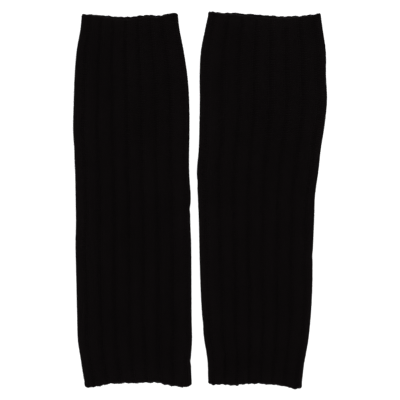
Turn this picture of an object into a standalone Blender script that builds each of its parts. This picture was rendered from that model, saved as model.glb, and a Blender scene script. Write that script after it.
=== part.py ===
"""A pair of rib-knit leg warmers, laid flat side by side on a surface.

Each leg warmer is one tube knitted in the round, open at the top and at the hem, and pressed
flat: a plain under layer on the surface, a ribbed upper layer on it, and a rounded fold down
each side. The surface is z = 0, +Y runs from the hems to the top openings, and +X to the right
of someone who looks down on the pair. Sizes are in millimetres; MM turns them into metres.
"""

import math
from collections import namedtuple

import bmesh
import bpy

MM = 0.001

# The knit: each rib is a raised band of knit stitches and a sunken band of purl ones
RIBS_ROUND = 16
RIBS_ACROSS = RIBS_ROUND // 2
RIB_HEIGHT = 1.6
GROOVE_WALL = 1.4
UNDER_WALL = 2.4
LAYER_GAP = 0.6
LEAST_GAP = 0.4

# The side folds, where the knit turns from the under layer to the upper one
FOLD_GAP = 1.2
FOLD_GAP_REACH = 7.0
FOLD_HEIGHT = UNDER_WALL + FOLD_GAP + GROOVE_WALL + RIB_HEIGHT
FOLD_RADIUS = FOLD_HEIGHT / 2
FOLD_WALL = 2.6
FOLD_ANGLES = (-90, -60, -30, 0, 25, 50, 75)
FLAT_FROM = 0.035

# The rims
SCALLOP = 0.8
RIM_ROUNDING = 0.5
RIM_DEPTH = 1.8
TOP_MOUTH_DROP = 3.4
HEM_MOUTH_DROP = 1.0

LENGTH = 449.0
RINGS_ALONG = 34
UNDER_POINTS_PER_RIB = 4
KNIT_BLACK = (0.006, 0.005, 0.0053, 1.0)
KNIT_ROUGHNESS = 0.92
SHARP_ANGLE = 40

# along: the place up the length. centre: the middle of the tube there. width: its flat width.
Section = namedtuple("Section", "along centre width")
# across: from 0 at the left fold to 1 at the right one. along: where the rim lies there.
Rim = namedtuple("Rim", "across along")
# A soft ridge of the upper layer: the place of its middle, the angle of its crest from +X in
# degrees, the length and width of the ridge, and how far it stands up.
Ridge = namedtuple("Ridge", "x along angle length width height")
# first_groove: how many ribs the first groove of the upper layer lies in from the left fold.
Leg = namedtuple("Leg", "name first_groove sections top hem ridges")

# One rib from the middle of a groove to the next. place: the share of the way across it.
# height: the share of the full rib height. scallop: how far the rim stands out there, as a
# share of the full scallop, because each band of stitches makes one scallop of its own.
RibPoint = namedtuple("RibPoint", "place height scallop")
RIB = (
    RibPoint(place=0.00, height=0.00, scallop=1.0),
    RibPoint(place=0.11, height=0.10, scallop=0.6),
    RibPoint(place=0.21, height=0.55, scallop=0.0),
    RibPoint(place=0.32, height=0.90, scallop=0.6),
    RibPoint(place=0.50, height=1.00, scallop=1.0),
    RibPoint(place=0.68, height=0.90, scallop=0.6),
    RibPoint(place=0.79, height=0.55, scallop=0.0),
    RibPoint(place=0.89, height=0.10, scallop=0.6),
)

# A point of the tube's section. station: its place round the tube, from 0 to 1 along the under
# layer, to 2 up the right fold, to 3 back along the upper layer and to 4 down the left fold.
# across and angle say where it is on its layer or fold; angle is None away from the folds.
SectionPoint = namedtuple("SectionPoint", "station across angle height scallop")

LEFT = Leg(
    name="left_leg_warmer",
    first_groove=0.68,
    sections=(
        Section(along=-218.2, centre=-74.2, width=128.1),
        Section(along=-203.8, centre=-75.8, width=130.0),
        Section(along=-189.4, centre=-77.0, width=131.9),
        Section(along=-167.8, centre=-78.0, width=136.5),
        Section(along=-139.0, centre=-78.7, width=136.9),
        Section(along=-95.8, centre=-79.3, width=137.7),
        Section(along=-52.6, centre=-79.9, width=138.3),
        Section(along=-23.8, centre=-80.2, width=136.7),
        Section(along=5.0, centre=-80.2, width=137.7),
        Section(along=26.6, centre=-81.1, width=136.6),
        Section(along=48.2, centre=-81.8, width=136.9),
        Section(along=84.2, centre=-82.4, width=139.2),
        Section(along=120.2, centre=-82.2, width=138.0),
        Section(along=149.0, centre=-82.7, width=134.9),
        Section(along=177.8, centre=-83.7, width=128.3),
        Section(along=206.6, centre=-84.0, width=118.0),
        Section(along=221.0, centre=-84.1, width=115.1),
    ),
    top=(
        Rim(across=0.0, along=223.1),
        Rim(across=0.12, along=222.2),
        Rim(across=0.30, along=220.6),
        Rim(across=0.45, along=219.8),
        Rim(across=0.58, along=220.6),
        Rim(across=0.70, along=222.2),
        Rim(across=0.77, along=221.2),
        Rim(across=0.86, along=222.6),
        Rim(across=0.95, along=224.3),
        Rim(across=1.0, along=223.8),
    ),
    hem=(
        Rim(across=0.0, along=-223.3),
        Rim(across=0.05, along=-224.3),
        Rim(across=0.12, along=-223.0),
        Rim(across=0.25, along=-220.0),
        Rim(across=0.50, along=-219.3),
        Rim(across=0.67, along=-218.7),
        Rim(across=0.76, along=-221.1),
        Rim(across=0.88, along=-223.4),
        Rim(across=0.95, along=-223.6),
        Rim(across=1.0, along=-222.0),
    ),
    ridges=(
        Ridge(x=-110.0, along=92.0, angle=34.0, length=96.0, width=34.0, height=1.6),
        Ridge(x=-42.0, along=12.0, angle=-22.0, length=86.0, width=30.0, height=1.9),
        Ridge(x=-100.0, along=-60.0, angle=14.0, length=78.0, width=38.0, height=1.2),
        Ridge(x=-36.0, along=-126.0, angle=48.0, length=74.0, width=29.0, height=1.4),
        Ridge(x=-110.0, along=-172.0, angle=-30.0, length=70.0, width=32.0, height=1.5),
        Ridge(x=-58.0, along=164.0, angle=68.0, length=64.0, width=27.0, height=1.3),
    ),
)

RIGHT = Leg(
    name="right_leg_warmer",
    first_groove=0.45,
    sections=(
        Section(along=-218.2, centre=66.0, width=111.9),
        Section(along=-196.6, centre=67.0, width=115.0),
        Section(along=-182.2, centre=67.5, width=119.3),
        Section(along=-167.8, centre=67.5, width=124.3),
        Section(along=-139.0, centre=67.7, width=129.7),
        Section(along=-110.2, centre=67.7, width=133.2),
        Section(along=-67.0, centre=67.3, width=135.3),
        Section(along=-23.8, centre=67.7, width=137.9),
        Section(along=5.0, centre=67.6, width=140.1),
        Section(along=33.8, centre=69.0, width=145.1),
        Section(along=62.6, centre=71.8, width=146.0),
        Section(along=91.4, centre=74.4, width=149.8),
        Section(along=120.2, centre=76.0, width=152.0),
        Section(along=149.0, centre=75.3, width=151.0),
        Section(along=177.8, centre=75.9, width=149.3),
        Section(along=206.6, centre=76.6, width=139.9),
        Section(along=221.0, centre=77.2, width=134.7),
    ),
    top=(
        Rim(across=0.0, along=225.8),
        Rim(across=0.05, along=225.6),
        Rim(across=0.13, along=224.2),
        Rim(across=0.19, along=224.5),
        Rim(across=0.27, along=224.2),
        Rim(across=0.44, along=222.5),
        Rim(across=0.63, along=220.4),
        Rim(across=0.84, along=221.3),
        Rim(across=0.93, along=222.4),
        Rim(across=1.0, along=223.8),
    ),
    hem=(
        Rim(across=0.0, along=-219.8),
        Rim(across=0.05, along=-221.3),
        Rim(across=0.13, along=-220.5),
        Rim(across=0.25, along=-221.9),
        Rim(across=0.48, along=-220.1),
        Rim(across=0.74, along=-221.6),
        Rim(across=0.84, along=-223.7),
        Rim(across=0.93, along=-225.9),
        Rim(across=1.0, along=-224.9),
    ),
    ridges=(
        Ridge(x=110.0, along=54.0, angle=-32.0, length=98.0, width=35.0, height=2.0),
        Ridge(x=32.0, along=104.0, angle=58.0, length=92.0, width=30.0, height=1.6),
        Ridge(x=96.0, along=146.0, angle=20.0, length=76.0, width=36.0, height=1.3),
        Ridge(x=38.0, along=-24.0, angle=26.0, length=74.0, width=31.0, height=1.5),
        Ridge(x=94.0, along=-88.0, angle=-44.0, length=80.0, width=33.0, height=1.3),
        Ridge(x=46.0, along=-164.0, angle=38.0, length=66.0, width=28.0, height=1.6),
    ),
)


def smooth_value(rows, key, value, at):
    """A column of a table, read at a place between its rows along a smooth curve."""
    keys = [getattr(row, key) for row in rows]
    values = [getattr(row, value) for row in rows]
    last = len(rows) - 1
    if at <= keys[0]:
        return values[0]
    if at >= keys[last]:
        return values[last]
    i = max(n for n in range(last) if keys[n] <= at)
    span = keys[i + 1] - keys[i]
    t = (at - keys[i]) / span

    def slope(n):
        before, after = max(n - 1, 0), min(n + 1, last)
        return (values[after] - values[before]) / (keys[after] - keys[before])

    rise = values[i + 1] - values[i]
    start, end = slope(i) * span, slope(i + 1) * span
    curve = start - rise + (rise - end - start + rise) * t
    return values[i] + t * (rise + (1 - t) * curve)


def ridge_lift(leg, x, along):
    """How far the upper layer's soft ridges lift it at this place."""
    lift = 0.0
    for ridge in leg.ridges:
        turn = math.radians(ridge.angle)
        dx, dy = x - ridge.x, along - ridge.along
        on_crest = (dx * math.cos(turn) + dy * math.sin(turn)) / (ridge.length / 2)
        off_crest = (dy * math.cos(turn) - dx * math.sin(turn)) / (ridge.width / 2)
        lift += ridge.height * math.exp(-(off_crest**2) - on_crest**4)
    return lift


def layer_gap(leg, x, along, from_fold):
    """The air between the two layers: least in the middle, and round inside each fold."""
    opening = math.exp(-((from_fold / FOLD_GAP_REACH) ** 2))
    lifted = ridge_lift(leg, x, along) * (1 - opening)
    return max(LEAST_GAP, LAYER_GAP + (FOLD_GAP - LAYER_GAP) * opening + lifted)


def rib_value(leg, column, ribs_across):
    """A column of the rib's table, this many ribs in from the left fold."""
    place = (ribs_across - leg.first_groove) % 1.0
    rows = RIB + (RIB[0]._replace(place=1.0),)
    i = max(n for n in range(len(RIB)) if rows[n].place <= place)
    t = (place - rows[i].place) / (rows[i + 1].place - rows[i].place)
    start, end = getattr(rows[i], column), getattr(rows[i + 1], column)
    return start + (end - start) * t


def section_point(leg, station, across, angle=None):
    """A point of the section with the height and scallop of the rib that it lies on."""
    ribs = across * RIBS_ACROSS
    if angle is not None:
        outward = 1 if across else -1
        pitch = 2 * leg.sections[len(leg.sections) // 2].width / RIBS_ROUND
        ribs += outward * (1 - angle / 90) * FOLD_RADIUS * math.pi / 2 / pitch
    height = rib_value(leg, "height", ribs)
    return SectionPoint(station, across, angle, height, rib_value(leg, "scallop", ribs))


def upper_places(leg, rows):
    """Where the upper layer's points lie across, at each of these rows of each rib's table."""
    ribs = [rib + leg.first_groove + row.place for rib in range(-1, RIBS_ACROSS) for row in rows]
    return [n / RIBS_ACROSS for n in ribs if FLAT_FROM < n / RIBS_ACROSS < 1 - FLAT_FROM]


def even_places(count):
    """Places across the flat of a layer, from one fold to the other."""
    return [FLAT_FROM + (1 - 2 * FLAT_FROM) * n / (count - 1) for n in range(count)]


def outer_section(leg):
    """The section's outside: under layer, right fold, ribbed upper layer, left fold."""
    under = even_places(RIBS_ACROSS * UNDER_POINTS_PER_RIB + 1)
    up = [(angle + 90) / 180 for angle in FOLD_ANGLES]
    section = [section_point(leg, across, across) for across in under]
    section += [section_point(leg, 1 + t, 1, a) for t, a in zip(up, FOLD_ANGLES)]
    section += [section_point(leg, 3 - n, n) for n in reversed(upper_places(leg, RIB))]
    folded = reversed(list(zip(up, FOLD_ANGLES)))
    return section + [section_point(leg, 4 - t, 0, a) for t, a in folded]


def inner_section(leg):
    """The section's plain inside, in the same order as the outside."""
    under = even_places(RIBS_ACROSS * UNDER_POINTS_PER_RIB + 1)
    section = [section_point(leg, across, across) for across in under]
    section.append(section_point(leg, 1.5, 1, 0))
    section += [section_point(leg, 3 - n, n) for n in reversed(upper_places(leg, RIB[::2]))]
    return section + [section_point(leg, 3.5, 0, 0)]


def length_place(leg, point, up):
    """The place along the tube of a point that is a share up it, from its hem to its top."""
    on_upper = 2 < point.station < 3 and point.angle is None
    mouth = math.sin(math.pi * point.across) if on_upper else 0.0
    top = smooth_value(leg.top, "across", "along", point.across)
    hem = smooth_value(leg.hem, "across", "along", point.across)
    top += SCALLOP * (point.scallop - 0.5) - TOP_MOUTH_DROP * mouth
    hem -= SCALLOP * (point.scallop - 0.5) - HEM_MOUTH_DROP * mouth
    return hem + up * (top - hem)


def edges_at(leg, along):
    """The left and right sides of the tube at this place along it."""
    centre = smooth_value(leg.sections, "along", "centre", along)
    width = smooth_value(leg.sections, "along", "width", along)
    return centre - width / 2, centre + width / 2


def outside_place(leg, point, up, rounding):
    """The x, y and z of a point on the outside of the tube."""
    along = length_place(leg, point, up)
    left, right = edges_at(leg, along)
    if point.angle is not None:
        turn = math.radians(point.angle)
        radius = FOLD_RADIUS - rounding / 2
        inward = FOLD_RADIUS - radius * math.cos(turn)
        x = right - inward if point.across else left + inward
        sunk = RIB_HEIGHT * (1 - point.height) * max(0.0, math.sin(turn))
        on_surface = point.angle == FOLD_ANGLES[0]
        z = 0.0 if on_surface else FOLD_RADIUS + radius * math.sin(turn) - sunk
        return (x, along, z)
    x = left + point.across * (right - left)
    if point.station <= 1:
        return (x, along, 0.0)
    gap = layer_gap(leg, x, along, min(x - left, right - x) - FOLD_WALL)
    ribs = (RIB_HEIGHT - rounding) * point.height - rounding / 2
    return (x, along, UNDER_WALL + gap + GROOVE_WALL + ribs)


def inside_place(leg, point, up):
    """The x, y and z of a point on the inside of the tube."""
    along = length_place(leg, point, up)
    left, right = edges_at(leg, along)
    if point.angle is not None:
        x = right - FOLD_WALL if point.across else left + FOLD_WALL
        return (x, along, UNDER_WALL + FOLD_GAP / 2)
    x = left + point.across * (right - left)
    if point.station <= 1:
        return (x, along, UNDER_WALL)
    gap = layer_gap(leg, x, along, min(x - left, right - x) - FOLD_WALL)
    return (x, along, UNDER_WALL + gap)


def ring_shares():
    """(share up the tube, rounding) for each ring, with one close to each rim."""
    rim = RIM_DEPTH / LENGTH
    shares = [0.0, rim]
    shares += [rim + (1 - 2 * rim) * n / RINGS_ALONG for n in range(1, RINGS_ALONG)]
    shares += [1 - rim, 1.0]
    last = len(shares) - 1
    return [(up, RIM_ROUNDING if n in (0, last) else 0.0) for n, up in enumerate(shares)]


def add_skin(bm, rings, outward):
    """Quads between neighbouring rings of points. Returns the rings as vertices."""
    loops = [[bm.verts.new([c * MM for c in point]) for point in ring] for ring in rings]
    for lower, upper in zip(loops, loops[1:]):
        for n in range(len(lower)):
            m = (n + 1) % len(lower)
            quad = [lower[n], lower[m], upper[m], upper[n]]
            bm.faces.new(quad[::-1] if outward else quad)
    return loops


def close_rim(bm, outer, outer_section, inner, inner_section, at_top):
    """Closes the wall's edge at one end of the tube, with triangles between its two skins.

    Both skins are followed round together, and the one that is behind takes the next step.
    """
    outer_stops = [point.station for point in outer_section] + [4 + outer_section[0].station]
    inner_stops = [point.station for point in inner_section] + [4 + inner_section[0].station]
    i = j = 0
    while i < len(outer) or j < len(inner):
        a, b = outer[i % len(outer)], inner[j % len(inner)]
        outer_first = j == len(inner) or (
            i < len(outer) and outer_stops[i + 1] <= inner_stops[j + 1]
        )
        if outer_first:
            i += 1
            corners = [a, outer[i % len(outer)], b]
        else:
            j += 1
            corners = [a, inner[j % len(inner)], b]
        bm.faces.new(corners[::-1] if at_top else corners)


def knit_material():
    """Matt black wool-like yarn."""
    material = bpy.data.materials.new("black_rib_knit")
    material.use_nodes = True
    shader = material.node_tree.nodes["Principled BSDF"]
    shader.inputs["Base Color"].default_value = KNIT_BLACK
    shader.inputs["Roughness"].default_value = KNIT_ROUGHNESS
    shader.inputs["Metallic"].default_value = 0.0
    return material


def build_leg_warmer(leg, material, collection):
    """One flat-lying tube, as a closed wall with both ends open."""
    bm = bmesh.new()
    outer, inner = outer_section(leg), inner_section(leg)
    outer_rings = [
        [outside_place(leg, point, up, rounding) for point in outer]
        for up, rounding in ring_shares()
    ]
    inner_rings = [[inside_place(leg, point, up) for point in inner] for up, _ in ring_shares()]
    outside = add_skin(bm, outer_rings, outward=True)
    inside = add_skin(bm, inner_rings, outward=False)
    close_rim(bm, outside[0], outer, inside[0], inner, at_top=False)
    close_rim(bm, outside[-1], outer, inside[-1], inner, at_top=True)
    mesh = bpy.data.meshes.new(leg.name)
    bm.to_mesh(mesh)
    bm.free()
    mesh.materials.append(material)
    mesh.shade_smooth()
    mesh.set_sharp_from_angle(angle=math.radians(SHARP_ANGLE))
    collection.objects.link(bpy.data.objects.new(leg.name, mesh))


def main():
    for obj in list(bpy.data.objects):
        bpy.data.objects.remove(obj, do_unlink=True)
    collection = bpy.data.collections.new("pair_of_leg_warmers")
    bpy.context.scene.collection.children.link(collection)
    material = knit_material()
    for leg in (LEFT, RIGHT):
        build_leg_warmer(leg, material, collection)


main()
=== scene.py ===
"""Knits a pair of black ribbed leg warmers, laid flat side by side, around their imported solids.

Each leg warmer is one tube in broad rib. The script lays down the fabric's ground as a closed wall
and covers it with real stitches: the V of each knit stitch on the raised bands, the bar of each
purl stitch in the grooves, a bound-off chain round the top and a twisted cast-on cord round the hem.

Shapes are worked out in millimetres on the tube's own grid. A place on it is its wale, counted
round the tube from the left fold across the upper layer and back along the under layer, its course,
counted up from the hem, and its lift off the outer face of the knit. MM turns the results into
metres. The tubes lie on z = 0, with their hems towards -Y.
"""

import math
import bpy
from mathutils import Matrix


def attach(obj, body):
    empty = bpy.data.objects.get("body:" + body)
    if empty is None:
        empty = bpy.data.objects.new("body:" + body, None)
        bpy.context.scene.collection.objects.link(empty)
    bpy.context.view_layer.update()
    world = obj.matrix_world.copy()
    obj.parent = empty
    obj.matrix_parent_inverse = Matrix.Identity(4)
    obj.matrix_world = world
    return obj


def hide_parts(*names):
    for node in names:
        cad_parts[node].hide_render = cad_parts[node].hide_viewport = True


bl_info = {
    "name": "Rib-Knit Leg Warmers",
    "version": (1, 0, 0),
    "blender": (4, 5, 0),
    "location": "View3D > Sidebar > Leg Warmers",
    "description": "Knits a pair of ribbed leg warmers stitch by stitch, with a plain stage",
    "category": "Add Mesh",
}

from collections import namedtuple

import bmesh
import bpy
import numpy as np
from bpy.props import FloatProperty, FloatVectorProperty, IntProperty, PointerProperty
from mathutils import Matrix, Vector

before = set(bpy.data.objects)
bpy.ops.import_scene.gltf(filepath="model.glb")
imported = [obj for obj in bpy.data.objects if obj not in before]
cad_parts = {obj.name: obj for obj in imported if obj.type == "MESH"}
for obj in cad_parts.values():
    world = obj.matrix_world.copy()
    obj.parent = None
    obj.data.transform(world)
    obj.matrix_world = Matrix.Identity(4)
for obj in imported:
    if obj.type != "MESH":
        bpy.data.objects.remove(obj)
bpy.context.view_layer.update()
BODY = "root"
MM = 0.001

# The rib, counted in wales, the upright columns of stitches
RIBS_ROUND = 16
WALES_PER_RIB = 6
WALES_PER_BAND = WALES_PER_RIB // 2
WALES_ROUND = RIBS_ROUND * WALES_PER_RIB
WALES_ACROSS = WALES_ROUND // 2
# The first wale of each band, counted from the middle of a groove
FIRST_PURL_WALE = -1
FIRST_KNIT_WALE = FIRST_PURL_WALE + WALES_PER_BAND
# The usual width of a wale, and the height of a course, one row of stitches
WALE = 2.87
COURSE = 2.1

# The wall, from the surface up: how far off it the underside's grooves lie, the under layer, the air
# over that, usual and least, and the upper layer in a groove
UNDER_GROOVE = 0.7
UNDER_WALL = 2.4
LAYER_GAP = 0.6
LEAST_GAP = 0.4
GROOVE_WALL = 1.4

# The side folds: the air inside one, how far in it reaches, the wall round it and the radius of its
# outer face. A fold takes as many wales as its half circle is long.
FOLD_GAP = 1.2
FOLD_GAP_REACH = 7.0
FOLD_WALL = 2.6
FOLD_RADIUS = 3.3
USUAL_WIDTH = 137.0
FOLD_SHARE = FOLD_RADIUS / USUAL_WIDTH
FOLD_START = WALES_ACROSS * FOLD_SHARE
FOLD_WALES = math.pi * FOLD_RADIUS / WALE
RIGHT_FOLD = WALES_ACROSS - FOLD_START
UNDER_START = RIGHT_FOLD + FOLD_WALES
LEFT_FOLD = WALES_ROUND + FOLD_START - FOLD_WALES
# The stitches on a fold lie a little inside its outer face, so the face is set out this far past
# the sides that the tables give.
FOLD_STAND = 0.35

# The rims. A knit edge is scalloped by its ribs and uneven by a few slow waves, and its corners are
# rounded where it goes round a fold. At a mouth the upper layer ends short of the under one.
TOP_SCALLOP = 0.55
HEM_SCALLOP = 1.0
MEAN_SCALLOP = 0.5
CORNER_DROP = 1.6
UNEVENNESS = 0.35
UNEVEN_WAVES = (5, 13, 21, 34)
TOP_MOUTH_DROP = 3.4
HEM_MOUTH_DROP = 1.0

# along: the place up the length. centre: the middle of the tube there. width: its flat width.
Section = namedtuple("Section", "along centre width")
# across: from 0 at the left fold to 1 at the right one. along: where the rim lies there.
Rim = namedtuple("Rim", "across along")
# A soft ridge of the upper layer: the place of its middle, the angle of its crest from +X in
# degrees, the length and width of the ridge, and how far it stands up.
Ridge = namedtuple("Ridge", "x along angle length width height")
# A small dent in a side fold: which side, where, how deep and how long it is.
Dent = namedtuple("Dent", "side along depth length")
# first_groove: how many ribs the first groove of the upper layer lies in from the left fold.
# flat_round: the size all round that the tube is knitted to, in metres. seed: what the tube's random
# draws and slow waves start from.
Leg = namedtuple(
    "Leg", "name node first_groove flat_round sections top hem ridges under_creases dents seed"
)
# A slow sideways bend of every column of stitches: how many wales it strays, how many times it
# comes and goes over the length and round the tube, and what sets one tube's phase off the other's.
Bend = namedtuple("Bend", "wales times round_by phase")
WANDER = (
    Bend(wales=0.13, times=1.3, round_by=1, phase=0.031),
    Bend(wales=0.05, times=3.1, round_by=2, phase=0.047),
)

# One rib from the middle of a groove to the next. place: the share of the way across it.
# height: the share of the full rib height. scallop: how far the rim stands out there.
RibPoint = namedtuple("RibPoint", "place height scallop")
RIB = (
    RibPoint(place=0.00, height=0.00, scallop=1.0),
    RibPoint(place=0.11, height=0.10, scallop=0.6),
    RibPoint(place=0.21, height=0.55, scallop=0.0),
    RibPoint(place=0.32, height=0.90, scallop=0.6),
    RibPoint(place=0.50, height=1.00, scallop=1.0),
    RibPoint(place=0.68, height=0.90, scallop=0.6),
    RibPoint(place=0.79, height=0.55, scallop=0.0),
    RibPoint(place=0.89, height=0.10, scallop=0.6),
    RibPoint(place=1.00, height=0.00, scallop=1.0),
)

LEFT = Leg(
    name="left",
    node="left_leg_warmer",
    first_groove=0.68,
    flat_round=0.274,
    sections=(
        Section(along=-218.2, centre=-74.2, width=128.1),
        Section(along=-203.8, centre=-75.8, width=130.0),
        Section(along=-189.4, centre=-77.0, width=131.9),
        Section(along=-167.8, centre=-78.0, width=136.5),
        Section(along=-139.0, centre=-78.7, width=136.9),
        Section(along=-95.8, centre=-79.3, width=137.7),
        Section(along=-52.6, centre=-79.9, width=138.3),
        Section(along=-23.8, centre=-80.2, width=136.7),
        Section(along=5.0, centre=-80.2, width=137.7),
        Section(along=26.6, centre=-81.1, width=136.6),
        Section(along=48.2, centre=-81.8, width=136.9),
        Section(along=84.2, centre=-82.4, width=139.2),
        Section(along=120.2, centre=-82.2, width=138.0),
        Section(along=149.0, centre=-82.7, width=134.9),
        Section(along=177.8, centre=-83.7, width=128.3),
        Section(along=206.6, centre=-84.0, width=118.0),
        Section(along=221.0, centre=-84.1, width=115.1),
    ),
    top=(
        Rim(across=0.0, along=223.1),
        Rim(across=0.12, along=222.2),
        Rim(across=0.30, along=220.6),
        Rim(across=0.45, along=219.8),
        Rim(across=0.58, along=220.6),
        Rim(across=0.70, along=222.2),
        Rim(across=0.77, along=221.2),
        Rim(across=0.86, along=222.6),
        Rim(across=0.95, along=224.3),
        Rim(across=1.0, along=223.8),
    ),
    hem=(
        Rim(across=0.0, along=-223.3),
        Rim(across=0.05, along=-224.3),
        Rim(across=0.12, along=-223.0),
        Rim(across=0.25, along=-220.0),
        Rim(across=0.50, along=-219.3),
        Rim(across=0.67, along=-218.7),
        Rim(across=0.76, along=-221.1),
        Rim(across=0.88, along=-223.4),
        Rim(across=0.95, along=-223.6),
        Rim(across=1.0, along=-222.0),
    ),
    ridges=(
        Ridge(x=-110.0, along=92.0, angle=34.0, length=96.0, width=34.0, height=1.6),
        Ridge(x=-42.0, along=12.0, angle=-22.0, length=86.0, width=30.0, height=1.9),
        Ridge(x=-100.0, along=-60.0, angle=14.0, length=78.0, width=38.0, height=1.2),
        Ridge(x=-36.0, along=-126.0, angle=48.0, length=74.0, width=29.0, height=1.4),
        Ridge(x=-110.0, along=-172.0, angle=-30.0, length=70.0, width=32.0, height=1.5),
        Ridge(x=-58.0, along=164.0, angle=68.0, length=64.0, width=27.0, height=1.3),
        Ridge(x=-128.0, along=-8.0, angle=8.0, length=44.0, width=13.0, height=0.5),
        Ridge(x=-64.0, along=-32.0, angle=-12.0, length=58.0, width=15.0, height=0.6),
        Ridge(x=-30.0, along=-190.0, angle=24.0, length=36.0, width=12.0, height=0.6),
        Ridge(x=-74.0, along=118.0, angle=-16.0, length=52.0, width=14.0, height=0.5),
        Ridge(x=-118.0, along=196.0, angle=30.0, length=40.0, width=13.0, height=0.5),
    ),
    under_creases=(
        Ridge(x=-96.0, along=120.0, angle=24.0, length=84.0, width=17.0, height=0.6),
        Ridge(x=-52.0, along=40.0, angle=-34.0, length=70.0, width=14.0, height=0.5),
        Ridge(x=-112.0, along=-44.0, angle=10.0, length=62.0, width=19.0, height=0.7),
        Ridge(x=-60.0, along=-138.0, angle=-18.0, length=88.0, width=15.0, height=0.5),
    ),
    dents=(
        Dent(side="right", along=-10.6, depth=0.9, length=9.0),
        Dent(side="right", along=-193.2, depth=0.7, length=7.0),
        Dent(side="left", along=64.0, depth=0.4, length=16.0),
    ),
    seed=11,
)

RIGHT = Leg(
    name="right",
    node="right_leg_warmer",
    first_groove=0.45,
    flat_round=0.276,
    sections=(
        Section(along=-218.2, centre=66.0, width=111.9),
        Section(along=-196.6, centre=67.0, width=115.0),
        Section(along=-182.2, centre=67.5, width=119.3),
        Section(along=-167.8, centre=67.5, width=124.3),
        Section(along=-139.0, centre=67.7, width=129.7),
        Section(along=-110.2, centre=67.7, width=133.2),
        Section(along=-67.0, centre=67.3, width=135.3),
        Section(along=-23.8, centre=67.7, width=137.9),
        Section(along=5.0, centre=67.6, width=140.1),
        Section(along=33.8, centre=69.0, width=145.1),
        Section(along=62.6, centre=71.8, width=146.0),
        Section(along=91.4, centre=74.4, width=149.8),
        Section(along=120.2, centre=76.0, width=152.0),
        Section(along=149.0, centre=75.3, width=151.0),
        Section(along=177.8, centre=75.9, width=149.3),
        Section(along=206.6, centre=76.6, width=139.9),
        Section(along=221.0, centre=77.2, width=134.7),
    ),
    top=(
        Rim(across=0.0, along=225.8),
        Rim(across=0.05, along=225.6),
        Rim(across=0.13, along=224.2),
        Rim(across=0.19, along=224.5),
        Rim(across=0.27, along=224.2),
        Rim(across=0.44, along=222.5),
        Rim(across=0.63, along=220.4),
        Rim(across=0.84, along=221.3),
        Rim(across=0.93, along=222.4),
        Rim(across=1.0, along=223.8),
    ),
    hem=(
        Rim(across=0.0, along=-219.8),
        Rim(across=0.05, along=-221.3),
        Rim(across=0.13, along=-220.5),
        Rim(across=0.25, along=-221.9),
        Rim(across=0.48, along=-220.1),
        Rim(across=0.74, along=-221.6),
        Rim(across=0.84, along=-223.7),
        Rim(across=0.93, along=-225.9),
        Rim(across=1.0, along=-224.9),
    ),
    ridges=(
        Ridge(x=110.0, along=54.0, angle=-32.0, length=98.0, width=35.0, height=2.0),
        Ridge(x=32.0, along=104.0, angle=58.0, length=92.0, width=30.0, height=1.6),
        Ridge(x=96.0, along=146.0, angle=20.0, length=76.0, width=36.0, height=1.3),
        Ridge(x=38.0, along=-24.0, angle=26.0, length=74.0, width=31.0, height=1.5),
        Ridge(x=94.0, along=-88.0, angle=-44.0, length=80.0, width=33.0, height=1.3),
        Ridge(x=46.0, along=-164.0, angle=38.0, length=66.0, width=28.0, height=1.6),
        Ridge(x=128.0, along=96.0, angle=-14.0, length=42.0, width=13.0, height=0.5),
        Ridge(x=64.0, along=14.0, angle=12.0, length=56.0, width=15.0, height=0.6),
        Ridge(x=22.0, along=-92.0, angle=-20.0, length=40.0, width=12.0, height=0.5),
        Ridge(x=88.0, along=-142.0, angle=18.0, length=50.0, width=14.0, height=0.6),
        Ridge(x=44.0, along=190.0, angle=-28.0, length=44.0, width=13.0, height=0.5),
    ),
    under_creases=(
        Ridge(x=52.0, along=148.0, angle=-22.0, length=90.0, width=18.0, height=0.7),
        Ridge(x=108.0, along=66.0, angle=30.0, length=66.0, width=14.0, height=0.5),
        Ridge(x=40.0, along=-30.0, angle=-8.0, length=74.0, width=16.0, height=0.6),
        Ridge(x=92.0, along=-120.0, angle=16.0, length=58.0, width=15.0, height=0.5),
    ),
    dents=(
        Dent(side="left", along=22.0, depth=0.6, length=11.0),
        Dent(side="left", along=-148.0, depth=0.4, length=9.0),
        Dent(side="right", along=-66.0, depth=0.5, length=12.0),
    ),
    seed=23,
)
LEGS = (LEFT, RIGHT)

# The slope of a face at a place is measured between others this far from it, in wales and courses.
STEP = 0.05
# What a length is kept above before anything is divided by it
LEAST_LENGTH = 1e-9

# The ground's grid. side is 0 on a row of the wall's outer face and 1 on the inner, and bulge is
# how far the row stands out over the rim, as a share of the full bulge.
WallRow = namedtuple("WallRow", "up side bulge")
COLUMNS_PER_WALE = 2
OUTER_ROWS = 72
INNER_ROWS = 18
RIM_TURNS = 3
# How far the faces stop short of a rim, how far the rounded edge between them then stands out, and
# how far off the tube's inner face the ground's own lies
RIM_TUCK = 0.7
RIM_BULGE = 0.7
INNER_SINK = -0.3
# Points of a mesh that lie closer than this are one point.
SEAM_REACH = 0.001

# How finely a strand is rounded: sides round it, which are turned this many degrees, and rings
# from one end to the other
Fineness = namedtuple("Fineness", "sides turn rings")
PLAIN = Fineness(sides=4, turn=45, rings=2)
FINE = Fineness(sides=4, turn=0, rings=3)
CURVED = Fineness(sides=4, turn=0, rings=4)
ROUND = Fineness(sides=6, turn=0, rings=5)

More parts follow.
